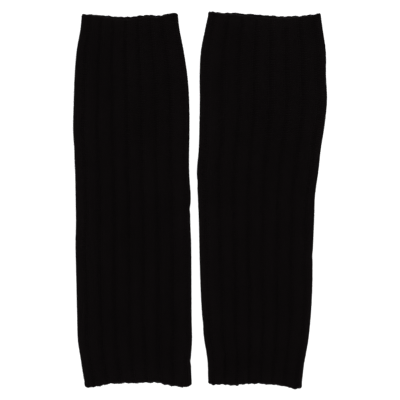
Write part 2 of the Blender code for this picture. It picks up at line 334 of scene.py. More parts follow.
# Strands of yarn, in millimetres and degrees. aside is how far each of a pair lies from the middle,
# bend and sink are how far the ends of a strand come down the tube and into it, and a strand with
# a taper or a fullness under 1 stays thick nearly to its ends.
Strand = namedtuple(
    "Strand",
    "length width thickness lean nod aside bend sink taper fullness",
    defaults=(0, 0, 0, 0, 0, 1, 1),
)
KNIT_LEG = Strand(length=3.7, width=1.7, thickness=1.5, lean=17, nod=-7, aside=0.72, taper=0.9)
PURL_BAR = Strand(
    length=4.4, width=2.2, thickness=1.9, bend=1.2, sink=0.8, taper=0.8, fullness=0.5
)
CHAIN_LEG = Strand(length=3.7, width=1.6, thickness=1.6, lean=14, aside=0.75, taper=0.8)
CAST_TURN = Strand(length=3.9, width=1.7, thickness=1.8, lean=38, taper=0.8)
# How far the middle of a chain's link and of a cord's turn lie back from the rim, and the usual
# thickness of the wall there
CHAIN_BACK = 0.5
TURN_BACK = 0.4
RIM_DEPTH = 3.0
# How far stitches stray: round the tube in wales, up it in courses, and off it, and then those of a
# rim, round it in wales, past it, and through the wall as a share of that
STRAY = np.array([0.03, 0.05, 0.05])
RIM_STRAY = np.array([0.03, 0.10, 0.03])
# How many wales past the folds a band may lie and still count as one of the upper layer's
BEYOND_FOLD = 0.5
# The stitches inside a mouth: how many courses of them show, and their middles' lift off the face
INSIDE_COURSES = 5
INSIDE_LIFT = -0.45

# The maps of a piece: the one that its finish is baked through, where each strand has a cell with a
# margin, and the one that its yarn follows
BAKE_MAP = "OFBake"
CELL_MARGIN = 0.05
KNIT_MAP = "knit"

# How light the yarn of a place looks beside the rest: painted shade by its rib's height, darker in
# the grooves and lighter on the crests, each stitch's own chance, and a painted sheen that lightens
# the yarn along the folds and rims and fades inwards over its reach.
TONE = "tone"
# Painted shade: the grooves are painted darker and the crests lighter
PAINTED_GROOVE_SHADE = 0.1
STITCH_TONE = 0.7
# Painted sheen: the yarn is painted lighter near the folds and rims
PAINTED_SHEEN_TONE = 1.5
PAINTED_SHEEN_REACH = 15.0


# ---------------------------------------------------------------- the shape of the tube


def read_curve(rows, key, value, at):
    """A column of a table, read at many places between its rows along a smooth curve."""
    keys = np.array([getattr(row, key) for row in rows])
    values = np.array([getattr(row, value) for row in rows])
    last = len(rows) - 1
    before, after = np.maximum(np.arange(last + 1) - 1, 0), np.minimum(np.arange(last + 1) + 1, last)
    slope = (values[after] - values[before]) / (keys[after] - keys[before])
    i = np.clip(np.searchsorted(keys, at, side="right") - 1, 0, last - 1)
    span = keys[i + 1] - keys[i]
    t = np.clip((at - keys[i]) / span, 0.0, 1.0)
    rise = values[i + 1] - values[i]
    start, end = slope[i] * span, slope[i + 1] * span
    curve = start - rise + (rise - end - start + rise) * t
    return values[i] + t * (rise + (1 - t) * curve)


def rib_column(leg, column, wale):
    """A column of the rib's table at each wale: its height or its scallop."""
    place = (wale / WALES_PER_RIB - leg.first_groove) % 1.0
    return read_curve(RIB, "place", column, place)


def edges_at(leg, along):
    """The left and right sides of the tube, with the small dents of its folds."""
    centre = read_curve(leg.sections, "along", "centre", along)
    width = read_curve(leg.sections, "along", "width", along)
    half = width / 2 + FOLD_STAND
    left, right = centre - half, centre + half
    for dent in leg.dents:
        depth = dent.depth * np.exp(-(((along - dent.along) / (dent.length / 2)) ** 2))
        if dent.side == "left":
            left = left + depth
        else:
            right = right - depth
    return left, right


def crease_lift(creases, x, along):
    """How far the soft ridges of a layer lift it."""
    lift = np.zeros_like(x)
    for ridge in creases:
        turn = math.radians(ridge.angle)
        dx, dy = x - ridge.x, along - ridge.along
        on_crest = (dx * math.cos(turn) + dy * math.sin(turn)) / (ridge.length / 2)
        off_crest = (dy * math.cos(turn) - dx * math.sin(turn)) / (ridge.width / 2)
        lift += ridge.height * np.exp(-(off_crest**2) - on_crest**4)
    return lift


def layer_gap(leg, x, along, from_fold):
    """The air between the two layers: least in the middle, and round inside each fold."""
    opening = np.exp(-((from_fold / FOLD_GAP_REACH) ** 2))
    lifted = crease_lift(leg.ridges, x, along) * (1 - opening)
    return np.maximum(LEAST_GAP, LAYER_GAP + (FOLD_GAP - LAYER_GAP) * opening + lifted)


def layer_parts(wale):
    """Where each wale lies: masks of the upper layer, right fold, under layer and left fold,
    the angle up its fold, and how far across the tube it is, from 0 to 1."""
    round_by = wale % WALES_ROUND
    upper = (round_by >= FOLD_START) & (round_by <= RIGHT_FOLD)
    right = (round_by > RIGHT_FOLD) & (round_by < UNDER_START)
    under = (round_by >= UNDER_START) & (round_by <= LEFT_FOLD)
    left = ~(upper | right | under)
    into_left = np.where(round_by < FOLD_START, round_by + WALES_ROUND, round_by) - LEFT_FOLD
    angle = np.where(
        right,
        math.pi / 2 - math.pi * (round_by - RIGHT_FOLD) / FOLD_WALES,
        -math.pi / 2 + math.pi * into_left / FOLD_WALES,
    )
    inset = FOLD_SHARE * (1 - np.cos(angle))
    back = (round_by - UNDER_START) / (LEFT_FOLD - UNDER_START)
    across = np.where(
        upper,
        round_by / WALES_ACROSS,
        np.where(
            under,
            1 - FOLD_SHARE - back * (1 - 2 * FOLD_SHARE),
            np.where(right, 1 - inset, inset),
        ),
    )
    return upper, right, under, left, angle, across


def rim_places(leg, wale, upper, angle, across, folded):
    """Where the hem and the top lie along the tube at each wale."""
    over = np.where(upper, 1.0, np.where(folded, np.maximum(0.0, np.sin(angle)), 0.0))
    mouth = over * np.sin(math.pi * across)
    corner = np.where(folded, CORNER_DROP * np.cos(angle) ** 4, 0.0)
    scallop = rib_column(leg, "scallop", wale) - MEAN_SCALLOP
    top = read_curve(leg.top, "across", "along", across) - TOP_MOUTH_DROP * mouth
    top = top - corner + TOP_SCALLOP * scallop
    hem = read_curve(leg.hem, "across", "along", across) + HEM_MOUTH_DROP * mouth
    hem = hem + corner - HEM_SCALLOP * scallop
    return hem + uneven(leg, wale, rim=1), top - uneven(leg, wale, rim=2)


def uneven(leg, wale, rim):
    """How far in a rim lies at each wale, as its stitches pull on it more or less.

    Its number, 1 for the hem and 2 for the top, sets its waves off from the other's.
    """
    turn = 2 * math.pi * wale / WALES_ROUND
    waves = [np.sin(times * turn + leg.seed * rim + times) for times in UNEVEN_WAVES]
    return UNEVENNESS * sum(waves) / math.sqrt(len(UNEVEN_WAVES))


def wander(leg, wale, up):
    """How many wales a column of stitches strays sideways on its way up the tube."""
    turn = 2 * math.pi
    total = 0.0
    for bend in WANDER:
        phase = bend.phase * leg.seed + bend.round_by * wale / WALES_ROUND
        total = total + bend.wales * np.sin(turn * (bend.times * up + phase))
    return total


def skin_places(leg, knit, wale, up, inside=False):
    """The x, y and z of places on the outer face of the tube, or on its inner one."""
    rib = rib_column(leg, "height", wale)
    rib_height = knit.rib_height / MM
    strayed = wale + wander(leg, wale, up)
    upper, right, under, left, angle, across = layer_parts(strayed)
    hem, top = rim_places(leg, wale, upper, angle, across, left | right)
    along = hem + up * (top - hem)
    left_edge, right_edge = edges_at(leg, along)
    radius = FOLD_GAP / 2 if inside else FOLD_RADIUS
    inset = FOLD_WALL + radius if inside else FOLD_RADIUS
    flat = right_edge - left_edge - 2 * inset
    share = (across - FOLD_SHARE) / (1 - 2 * FOLD_SHARE)
    x = np.where(
        upper | under,
        left_edge + inset + share * flat,
        np.where(
            right,
            right_edge - inset + radius * np.cos(angle),
            left_edge + inset - radius * np.cos(angle),
        ),
    )
    from_side = np.minimum(x - left_edge, right_edge - x)
    gap = layer_gap(leg, x, along, from_side - FOLD_WALL)
    if inside:
        z_upper = UNDER_WALL + gap
        z_under = UNDER_WALL
        z_fold = UNDER_WALL + radius + radius * np.sin(angle)
    else:
        z_upper = UNDER_WALL + gap + GROOVE_WALL + rib_height * rib
        z_under = UNDER_GROOVE * (1 - rib) + crease_lift(leg.under_creases, x, along)
        over, below = np.maximum(0.0, np.sin(angle)), np.maximum(0.0, -np.sin(angle))
        sunk = (rib_height * over - UNDER_GROOVE * below) * (1 - rib)
        z_fold = FOLD_RADIUS + FOLD_RADIUS * np.sin(angle) - sunk
    z = np.where(upper, z_upper, np.where(under, z_under, z_fold))
    return np.stack([x, along, z], axis=-1)


def on_tube(leg, knit, wale, course, lift, inside=False):
    """Points of the knit, lifted off the outer face, or off the inner one into the hollow."""
    up = course / knit.courses
    small = STEP / knit.courses
    ahead, behind = (skin_places(leg, knit, wale + s, up, inside) for s in (STEP, -STEP))
    above, below = (skin_places(leg, knit, wale, up + s, inside) for s in (small, -small))
    normal = np.cross(ahead - behind, above - below)
    normal /= np.maximum(np.linalg.norm(normal, axis=-1, keepdims=True), LEAST_LENGTH)
    if inside:
        normal = -normal
    return skin_places(leg, knit, wale, up, inside) + lift[:, None] * normal


def on_rim(leg, knit, wale, beyond, depth, at_top):
    """Points over a rim: depth is 0 on the outer face and 1 on the inner, beyond is past the edge."""
    up = np.full_like(wale, 1.0 if at_top else 0.0)
    outer = skin_places(leg, knit, wale, up)
    inner = skin_places(leg, knit, wale, up, inside=True)
    place = outer + depth[:, None] * (inner - outer)
    place[:, 1] += beyond if at_top else -beyond
    return place


# ---------------------------------------------------------------- meshes


def new_mesh(name, bm):
    """A mesh from a bmesh, which is used up."""
    mesh = bpy.data.meshes.new(name)
    bm.to_mesh(mesh)
    bm.free()
    return mesh


def new_object(name, data):
    """An object in the scene, at the origin."""
    made = bpy.data.objects.new(name, data)
    bpy.context.scene.collection.objects.link(made)
    return made


def read_points(mesh):
    """The places of a mesh's points, in metres or in what it was made in."""
    points = np.empty(len(mesh.vertices) * 3, np.float32)
    mesh.vertices.foreach_get("co", points)
    return points.reshape(-1, 3).astype(float)


def write_points(mesh, places):
    """Sets a mesh's points from places in millimetres. Nothing goes below the surface."""
    points = places * MM
    points[:, 2] = np.maximum(points[:, 2], 0.0)
    mesh.vertices.foreach_set("co", points.astype(np.float32).ravel())
    mesh.update()


def read_map(mesh, name):
    """Where the corners of a mesh's faces lie on one of its maps."""
    places = np.empty(len(mesh.loops) * 2, np.float32)
    mesh.uv_layers[name].uv.foreach_get("vector", places)
    return places.reshape(-1, 2)


def write_map(mesh, name, places):
    """Sets where the corners of a mesh's faces lie on one of its maps."""
    mesh.uv_layers[name].uv.foreach_set("vector", places.astype(np.float32).ravel())


def close_up(mesh):
    """Joins the points of a mesh that lie together, and turns its faces outwards."""
    bm = bmesh.new()
    bm.from_mesh(mesh)
    bmesh.ops.remove_doubles(bm, verts=bm.verts, dist=SEAM_REACH * MM)
    bmesh.ops.recalc_face_normals(bm, faces=bm.faces)
    bm.to_mesh(mesh)
    bm.free()


def add_map(mesh, name, places):
    """A further map of a mesh. The one that its finish is baked through stays the active one."""
    mesh.uv_layers.new(name=name, do_init=False)
    write_map(mesh, name, places)
    mesh.uv_layers.active = mesh.uv_layers[BAKE_MAP]


def painted_edge_sheen(leg, mesh):
    """How much painted sheen lightens each point's yarn: 1 along the folds and rims, and less further
    in.
    """
    x, along = read_points(mesh)[:, :2].T / MM
    left, right = edges_at(leg, along)
    across = (x - left) / (right - left)
    top = read_curve(leg.top, "across", "along", across)
    hem = read_curve(leg.hem, "across", "along", across)
    further_in = np.minimum.reduce((x - left, right - x, top - along, along - hem))
    return np.exp(-((np.maximum(further_in, 0.0) / PAINTED_SHEEN_REACH) ** 2))


def set_tone(mesh, leg, wale, chance):
    """How light each point's yarn looks beside the rest, with painted shade in the grooves and a
    painted sheen along the folds and rims.
    """
    # Painted shade: -1 in the middle of a groove and 1 on a crest
    rib = 2 * rib_column(leg, "height", wale) - 1
    tone = PAINTED_GROOVE_SHADE * rib + STITCH_TONE * chance + PAINTED_SHEEN_TONE * painted_edge_sheen(leg, mesh)
    mesh.attributes.new(TONE, "FLOAT", "POINT").data.foreach_set("value", tone.astype(np.float32))


def show_piece(name, mesh, material, leg):
    """Shows a finished mesh as a piece that stands for its leg warmer's solid."""
    mesh.name = name
    mesh.materials.clear()
    mesh.materials.append(material)
    mesh.shade_smooth()
    piece = new_object(name, mesh)
    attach(piece, BODY)
    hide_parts(leg.node)


# ---------------------------------------------------------------- the ground


def wall_rows(knit):
    """Rows round the wall: up its outer face, over the top rim, down inside, round the hem."""
    tuck = RIM_TUCK / (knit.courses * COURSE)
    turns = [math.pi * n / (RIM_TURNS + 1) for n in range(1, RIM_TURNS + 1)]
    ups = [tuck + (1 - 2 * tuck) * n / OUTER_ROWS for n in range(OUTER_ROWS + 1)]
    rows = [WallRow(up, 0.0, 0.0) for up in ups]
    rows += [WallRow(ups[-1], (1 - math.cos(t)) / 2, math.sin(t)) for t in turns]
    ups = [ups[-1] - (ups[-1] - ups[0]) * n / INNER_ROWS for n in range(INNER_ROWS + 1)]
    rows += [WallRow(up, 1.0, 0.0) for up in ups]
    rows += [WallRow(ups[-1], (1 + math.cos(t)) / 2, -math.sin(t)) for t in turns]
    return rows + [rows[0]]


def ground_mesh(leg, knit):
    """The closed wall under the stitches, from one grid that is rolled both ways."""
    rows = wall_rows(knit)
    columns = WALES_ROUND * COLUMNS_PER_WALE
    bm = bmesh.new()
    bm.loops.layers.uv.new(BAKE_MAP)
    bmesh.ops.create_grid(
        bm, x_segments=columns, y_segments=len(rows) - 1, size=0.5, calc_uvs=True
    )
    mesh = new_mesh(leg.name, bm)
    # From 0 to 1 both ways, round the tube and over the rows
    flat = read_points(mesh) + 0.5
    wale = flat[:, 0] * WALES_ROUND
    row = np.rint(flat[:, 1] * (len(rows) - 1)).astype(int)
    up, side, bulge = (np.array([getattr(r, key) for r in rows])[row] for key in WallRow._fields)
    course = up * knit.courses
    outer = on_tube(leg, knit, wale, course, np.full_like(wale, -knit.ground_depth / MM))
    inner = on_tube(leg, knit, wale, course, np.full_like(wale, INNER_SINK), inside=True)
    places = outer + side[:, None] * (inner - outer)
    places[:, 1] += bulge * RIM_BULGE
    write_points(mesh, places)
    # The ground is painted as dark as the darkest stitches: painted shade in the gaps between them
    set_tone(mesh, leg, wale, np.full_like(wale, -1.0))
    close_up(mesh)
    return mesh


# ---------------------------------------------------------------- stitches


def strand(bm, fineness, shape, side=0):
    """One closed, plump strand of yarn that lies along Y. side is -1 or 1 for one of a pair."""
    sides, turn, rings = fineness
    made = bmesh.ops.create_uvsphere(bm, u_segments=sides, v_segments=rings, radius=1, calc_uvs=True)
    verts = made["verts"]
    turned = Matrix.Rotation(math.radians(turn), 3, "Z")
    lying = Matrix.Rotation(math.radians(90), 3, "X")
    lean = Matrix.Rotation(math.radians(-side * shape.lean), 3, "Z")
    nod = Matrix.Rotation(math.radians(shape.nod), 3, "X")
    bmesh.ops.rotate(bm, verts=verts, cent=(0, 0, 0), matrix=lying @ turned)
    for vert in verts:
        x, y, z = vert.co
        swell = max(math.hypot(x, z), LEAST_LENGTH) ** (shape.fullness - 1)
        vert.co = (x * swell, math.copysign(abs(y) ** shape.taper, y), z * swell)
    size = (shape.width / 2, shape.length / 2, shape.thickness / 2)
    ends = Vector((shape.bend, 0, shape.sink))
    for vert in verts:
        outwards = vert.co.y**2
        vert.co = vert.co * Vector(size) - outwards * ends
    bmesh.ops.rotate(bm, verts=verts, cent=(0, 0, 0), matrix=lean @ nod)
    bmesh.ops.translate(bm, verts=verts, vec=(side * shape.aside, 0, 0))


def knit_stitch(bm, fineness):
    """The V of a knit stitch: two legs that meet at their feet."""
    for side in (-1, 1):
        strand(bm, fineness, KNIT_LEG, side)
    bmesh.ops.scale(bm, verts=bm.verts, vec=(1 / WALE, 1 / COURSE, 1))


def purl_stitch(bm, fineness):
    """The bar of a purl stitch: one strand across the wale, its ends bent down and tucked in."""
    strand(bm, fineness, PURL_BAR)
    across = Matrix.Rotation(math.radians(90), 3, "Z")
    bmesh.ops.rotate(bm, verts=bm.verts, cent=(0, 0, 0), matrix=across)
    bmesh.ops.scale(bm, verts=bm.verts, vec=(1 / WALE, 1 / COURSE, 1))


def lay_on_rim(bm, back):
    """Turns strands to lie along a rim, with their width through the wall, and sets them back."""
    along = Matrix(((0, 1, 0), (0, 0, 1), (1, 0, 0)))
    bmesh.ops.rotate(bm, verts=bm.verts, cent=(0, 0, 0), matrix=along)
    bmesh.ops.translate(bm, verts=bm.verts, vec=(0, -back, RIM_DEPTH / 2))
    bmesh.ops.scale(bm, verts=bm.verts, vec=(1 / WALE, 1, 1 / RIM_DEPTH))


def chain_link(bm, fineness):
    """One link of the bound-off chain along the top: a V that lies on the rim."""
    for side in (-1, 1):
        strand(bm, fineness, CHAIN_LEG, side)
    lay_on_rim(bm, CHAIN_BACK)


def cast_turn(bm, fineness):
    """One turn of the twisted cord that the cast-on makes along the hem."""
    strand(bm, fineness, CAST_TURN, side=1)
    lay_on_rim(bm, TURN_BACK)


def swatch(make_stitch, fineness, repeats, looseness, strays, seed):
    """A flat swatch of one stitch, repeated, with each stitch a little off its place.

    Returns its mesh, its points and each stitch's own chance, from -1 to 1. Each strand has a cell
    of its own on the map to bake through, and the whole of the map that its plies follow.
    """
    bm = bmesh.new()
    bm.loops.layers.uv.new(BAKE_MAP)
    make_stitch(bm, fineness)
    one = new_mesh("stitch", bm)
    stitch = new_object("stitch", one)
    for count, step in repeats:
        array = stitch.modifiers.new("repeat", "ARRAY")
        array.count = count
        array.use_relative_offset = False
        array.use_constant_offset = True
        array.constant_offset_displace = step
    seen = stitch.evaluated_get(bpy.context.evaluated_depsgraph_get())
    mesh = bpy.data.meshes.new_from_object(seen)
    points = len(one.vertices)
    bpy.data.objects.remove(stitch)
    bpy.data.meshes.remove(one)
    give_cells(mesh, fineness)
    stitches = len(mesh.vertices) // points
    rng = np.random.default_rng(seed)
    off = rng.normal(0.0, 1.0, (stitches, 3)) * strays * looseness
    chance = rng.uniform(-1.0, 1.0, stitches)
    return mesh, read_points(mesh) + np.repeat(off, points, axis=0), np.repeat(chance, points)


def give_cells(mesh, fineness):
    """Moves each strand to its own cell of the map to bake through, and keeps its whole map too."""
    whole = read_map(mesh, BAKE_MAP)
    add_map(mesh, KNIT_MAP, whole)
    # Each side of a strand has a triangle at both ends and a four-sided face for each ring between.
    corners = 3 + 4 * (fineness.rings - 2) + 3
    number = np.arange(len(whole)) // (fineness.sides * corners)
    row = math.ceil(math.sqrt(number[-1] + 1))
    cell = np.stack([number % row, number // row], axis=1)
    write_map(mesh, BAKE_MAP, (cell + CELL_MARGIN + (1 - 2 * CELL_MARGIN) * whole) / row)


def between_rims(knit, row):
    """How many courses up the tube a row of stitches lies, with room left for both rims."""
    tuck = RIM_TUCK / COURSE
    return tuck + (row + 0.5) * (knit.courses - 2 * tuck) / knit.courses


def band_starts(leg, first, under):
    """The first wale of the first band of a kind on the layer asked for, and how many there are.

    The upper layer takes the bands of both folds and the nearest ones under them.
    """
    band = leg.first_groove * WALES_PER_RIB + first
    # One for each rib round the tube, of which the first lies before the left fold
    starts = [band + WALES_PER_RIB * rib for rib in range(-2, RIBS_ROUND - 2)]
    middle = (WALES_PER_BAND - 1) / 2
    lowest, highest = LEFT_FOLD - WALES_ROUND - BEYOND_FOLD, UNDER_START + BEYOND_FOLD
    upper = [s for s in starts if lowest <= s + middle <= highest]
    if under:
        return upper[-1] + WALES_PER_RIB, RIBS_ROUND - len(upper)
    return upper[0], len(upper)


def band_swatch(leg, knit, kind, fineness, bands, courses):
    """A flat swatch of bands of one kind of stitch, one to each rib."""
    repeats = (
        (WALES_PER_BAND, (1, 0, 0)),
        (bands, (WALES_PER_RIB, 0, 0)),
        (courses, (0, 1, 0)),
    )
    return swatch(kind.make, fineness, repeats, knit.looseness, STRAY, leg.seed + kind.first)


def layer_mesh(leg, knit, kind, under):
    """All stitches of one kind on one layer of the tube."""
    start, bands = band_starts(leg, kind.first, under)
    fineness = PLAIN if under else kind.fineness
    mesh, places, chance = band_swatch(leg, knit, kind, fineness, bands, knit.courses)
    wale, course, height = start + places[:, 0], between_rims(knit, places[:, 1]), places[:, 2]
    write_points(mesh, on_tube(leg, knit, wale, course, kind.lift + height))
    set_tone(mesh, leg, wale, chance)
    return mesh


def inside_mesh(leg, knit, kind, at_top):
    """A few courses on the inner face of the under layer, which show at a mouth.

    They run on into both folds, by one band each, and are laid the other way round the tube.
    """
    start, bands = band_starts(leg, kind.first, under=True)
    end = start + WALES_PER_RIB * bands + WALES_PER_BAND - 1
    mesh, places, chance = band_swatch(leg, knit, kind, kind.fineness, bands + 2, INSIDE_COURSES)
    lowest = knit.courses - INSIDE_COURSES if at_top else 0
    wale, course, height = end - places[:, 0], between_rims(knit, lowest + places[:, 1]), places[:, 2]
    write_points(mesh, on_tube(leg, knit, wale, course, INSIDE_LIFT + height, inside=True))
    set_tone(mesh, leg, wale, chance)
    return mesh


def rim_mesh(leg, knit, make_stitch, at_top):
    """One stitch after another all round a rim."""
    repeats = ((WALES_ROUND, (1, 0, 0)),)
    mesh, places, chance = swatch(
        make_stitch, ROUND, repeats, knit.looseness, RIM_STRAY, leg.seed + at_top
    )
    wale = leg.first_groove * WALES_PER_RIB + places[:, 0]
    if not at_top:
        wale = -wale
    write_points(mesh, on_rim(leg, knit, wale, places[:, 1], places[:, 2], at_top))
    set_tone(mesh, leg, wale, chance)
    close_up(mesh)
    return mesh


# A kind of stitch: what makes it, how finely, the first wale of its bands, and its middle's lift
Kind = namedtuple("Kind", "name make fineness first lift")
KNIT = Kind(name="knit", make=knit_stitch, fineness=FINE, first=FIRST_KNIT_WALE, lift=-0.58)
PURL = Kind(name="purl", make=purl_stitch, fineness=CURVED, first=FIRST_PURL_WALE, lift=-0.5)
# Turned inside out, a purl band shows knit stitches and a knit band shows purl ones.
KNIT_INSIDE = KNIT._replace(first=PURL.first)
PURL_INSIDE = PURL._replace(first=KNIT.first)


# ---------------------------------------------------------------- finishes

# The yarn's fine flecks and soft patches: how many there are to a metre, the flecks' detail, and how
# much the patches count beside the flecks. The range of their sum is spread from the dark yarn this
# far towards the light one.
FLECK_SCALE = 2400.0
FLECK_DETAIL = 3
PATCH_SCALE = 16.0
PATCH_SHARE = 0.8
MOTTLE_RANGE = (0.5, 1.3)
MOTTLE_REACH = 0.7
# How much of a place's tone, with its painted shade and painted sheen, is added to that
TONE_SHARE = 0.3
# The yarn's fuzz, which follows its flecks, with its depth in metres, and how much glossier or more
# matt than usual they leave the yarn
FUZZ_DEPTH = 0.00012
FUZZ_STRENGTH = 0.5
GLOSSIER = 0.08
MORE_MATT = 0.05
SHEEN_ROUGHNESS = 0.3
# Blender's wave pattern has this many waves a unit. A yarn has three plies, which turn most of the
# way round it along one strand. Their depth is in metres.
WAVES_PER_UNIT = 10 / (2 * math.pi)
PLIES = 3
PLY_TURN = 0.8
PLY_ROUND = PLIES / WAVES_PER_UNIT
PLY_ALONG = PLY_TURN * PLIES / WAVES_PER_UNIT
PLY_DEPTH = 0.00016


def fill_inputs(tree, made, values):
    """Sets a node's inputs, by name or number, and links those that another node's output fills."""
    for key, value in values.items():
        if isinstance(value, bpy.types.NodeSocket):
            tree.links.new(value, made.inputs[key])
        else:
            made.inputs[key].default_value = value


def node(tree, kind, values=None, **settings):
    """A new node with its settings made and its inputs filled."""
    made = tree.nodes.new(kind)
    for key, value in settings.items():
        setattr(made, key, value)
    fill_inputs(tree, made, values or {})
    return made


def yarn_colour(tree, yarn, place, flecks):
    """Near-black, flecked, uneven from stitch to stitch and in soft patches, with the painted shade
    of the grooves and the painted sheen of the folds and rims that its tone carries.
    """
    patches = node(tree, "ShaderNodeTexNoise", {"Vector": place, "Scale": PATCH_SCALE})
    mixed = node(
        tree,
        "ShaderNodeMath",
        {0: patches.outputs["Fac"], 1: PATCH_SHARE, 2: flecks},
        operation="MULTIPLY_ADD",
    ).outputs[0]
    low, high = MOTTLE_RANGE
    spread = node(
        tree,
        "ShaderNodeMapRange",
        {"Value": mixed, "From Min": low, "From Max": high, "To Min": 0.0, "To Max": MOTTLE_REACH},
    ).outputs[0]
    tone = node(tree, "ShaderNodeAttribute", attribute_name=TONE).outputs["Fac"]
    shade = node(
        tree,
        "ShaderNodeMath",
        {0: tone, 1: TONE_SHARE, 2: spread},
        operation="MULTIPLY_ADD",
        use_clamp=True,
    ).outputs[0]
    colour = node(tree, "ShaderNodeMix", {"Factor": shade}, data_type="RGBA")
    ends = {"A": (*yarn.dark_colour, 1.0), "B": (*yarn.light_colour, 1.0)}
    fill_inputs(tree, colour, ends)
    return colour.outputs["Result"]


def ply_bump(tree):
    """The plies that wind round each strand, from the map that follows it."""
    knit_map = node(tree, "ShaderNodeUVMap", uv_map=KNIT_MAP).outputs["UV"]
    wound = node(
        tree, "ShaderNodeMapping", {"Vector": knit_map, "Scale": (PLY_ROUND, PLY_ALONG, 1.0)}
    ).outputs["Vector"]
    plies = node(
        tree, "ShaderNodeTexWave", {"Vector": wound, "Scale": 1.0}, bands_direction="DIAGONAL"
    ).outputs["Fac"]
    return node(
        tree, "ShaderNodeBump", {"Height": plies, "Strength": 1.0, "Distance": PLY_DEPTH}
    ).outputs["Normal"]


def yarn_finish(name, yarn, follows_yarn):
    """Matt near-black yarn, fuzzy and flecked, with its plies twisted together."""
    material = bpy.data.materials.new(name)
    material.use_nodes = True
    tree = material.node_tree
    place = node(tree, "ShaderNodeTexCoord").outputs["Object"]
    flecks = node(
        tree,
        "ShaderNodeTexNoise",
        {"Vector": place, "Scale": FLECK_SCALE, "Detail": FLECK_DETAIL},
    ).outputs["Fac"]
    least, most = yarn.roughness - GLOSSIER, yarn.roughness + MORE_MATT
    rough = node(tree, "ShaderNodeMapRange", {"Value": flecks, "To Min": least, "To Max": most})
    fuzz = node(
        tree,
        "ShaderNodeBump",
        {"Height": flecks, "Strength": FUZZ_STRENGTH, "Distance": FUZZ_DEPTH},
    )
    if follows_yarn:
        fill_inputs(tree, fuzz, {"Normal": ply_bump(tree)})
    surface = {
        "Base Color": yarn_colour(tree, yarn, place, flecks),
        "Metallic": 0.0,
        "Roughness": rough.outputs[0],
        "Specular IOR Level": yarn.gloss,
        "Specular Tint": (*yarn.fibre_colour, 1.0),
        "Sheen Weight": yarn.sheen,
        "Sheen Roughness": SHEEN_ROUGHNESS,
        "Sheen Tint": (*yarn.fibre_colour, 1.0),
        "Normal": fuzz.outputs["Normal"],
    }
    fill_inputs(tree, tree.nodes["Principled BSDF"], surface)
    return material


# ---------------------------------------------------------------- the stage

WHITE = (1.0, 1.0, 1.0, 1.0)
# In metres: how far the floor reaches, how far it lies under the pair, and how far towards +Y from
# the middle of the pair's outline the camera looks
FLOOR_REACH = 12.0
FLOOR_DROP = 0.0001
VIEW_MIDDLE = 0.00018
FLOOR_ROUGHNESS = 0.9
# The soft lights round the pair: how many degrees round from +X, and the share of the usual power
SideLight = namedtuple("SideLight", "azimuth share")
SIDE_LIGHTS = (
    SideLight(azimuth=30, share=0.8),
    SideLight(azimuth=90, share=1.0),
    SideLight(azimuth=150, share=1.2),
    SideLight(azimuth=210, share=1.0),
    SideLight(azimuth=270, share=0.8),
    SideLight(azimuth=330, share=0.9),
)
# In metres: their width and height, and the place of one at 0 degrees
SIDE_LIGHT_SIZE = (1.6, 0.7)
SIDE_LIGHT_PLACE = (1.9, 0.0, 0.6)


def add_floor(stage):
    """A wide plain floor that glows faintly, just under the pair."""
    bm = bmesh.new()
    bmesh.ops.create_grid(bm, x_segments=1, y_segments=1, size=FLOOR_REACH)
    bmesh.ops.translate(bm, verts=bm.verts, vec=(0, 0, -FLOOR_DROP))
    mesh = new_mesh("floor", bm)
    paint = bpy.data.materials.new("floor_paint")
    paint.use_nodes = True
    tree = paint.node_tree
    surface = {
        "Base Color": (*stage.floor_colour, 1.0),
        "Roughness": FLOOR_ROUGHNESS,
        "Specular IOR Level": 0.0,
        "Emission Color": WHITE,
        "Emission Strength": stage.floor_glow,
    }
    fill_inputs(tree, tree.nodes["Principled BSDF"], surface)
    mesh.materials.append(paint)
    new_object("floor", mesh)


def add_lights(stage):
    """A white room whose own light is faint, and low soft lights on all sides of the pair."""
    world = bpy.data.worlds.new("studio")
    world.use_nodes = True
    tree = world.node_tree
    seen = node(tree, "ShaderNodeLightPath").outputs["Is Camera Ray"]
    strength = node(tree, "ShaderNodeMath", {0: seen, 1: stage.fill_strength}, operation="MAXIMUM")
    sky = {"Color": WHITE, "Strength": strength.outputs[0]}
    fill_inputs(tree, tree.nodes["Background"], sky)
    bpy.context.scene.world = world
    for side in SIDE_LIGHTS:
        lamp = bpy.data.lights.new("side", "AREA")
        lamp.shape = "RECTANGLE"
        lamp.size, lamp.size_y = SIDE_LIGHT_SIZE
        lamp.energy = stage.side_power * side.share
        light = new_object("side", lamp)
        place = Matrix.Rotation(math.radians(side.azimuth), 3, "Z") @ Vector(SIDE_LIGHT_PLACE)
        light.location = place
        light.rotation_euler = (-place).to_track_quat("-Z", "Y").to_euler()
        light.visible_camera = False


def add_camera(stage):
    """A camera that looks straight down, with its right at +X and the tops of the tubes up."""
    lens = bpy.data.cameras.new("camera")
    lens.sensor_fit = "HORIZONTAL"
    lens.lens = lens.sensor_width * stage.height / stage.field
    camera = new_object("camera", lens)
    camera.location = (0.0, VIEW_MIDDLE, stage.height)
    bpy.context.scene.camera = camera


# ---------------------------------------------------------------- settings


class KnitSettings(bpy.types.PropertyGroup):
    """Sizes of the knit that a maker would change."""

    courses: IntProperty(
        name="Courses",
        description="Rows of stitches from the hem to the top",
        default=214,
        min=20,
    )
    rib_height: FloatProperty(
        name="Rib Height",
        description="How far a knit band stands over the groove beside it",
        default=0.0016,
        unit="LENGTH",
    )
    ground_depth: FloatProperty(
        name="Ground Depth",
        description="How deep the fabric's ground lies under the tops of the stitches",
        default=0.0007,
        unit="LENGTH",
    )
    looseness: FloatProperty(
        name="Looseness",
        description="How far stitches stray from their places, from 0 in a perfect knit",
        default=1.0,
        min=0.0,
        max=3.0,
        subtype="FACTOR",
    )


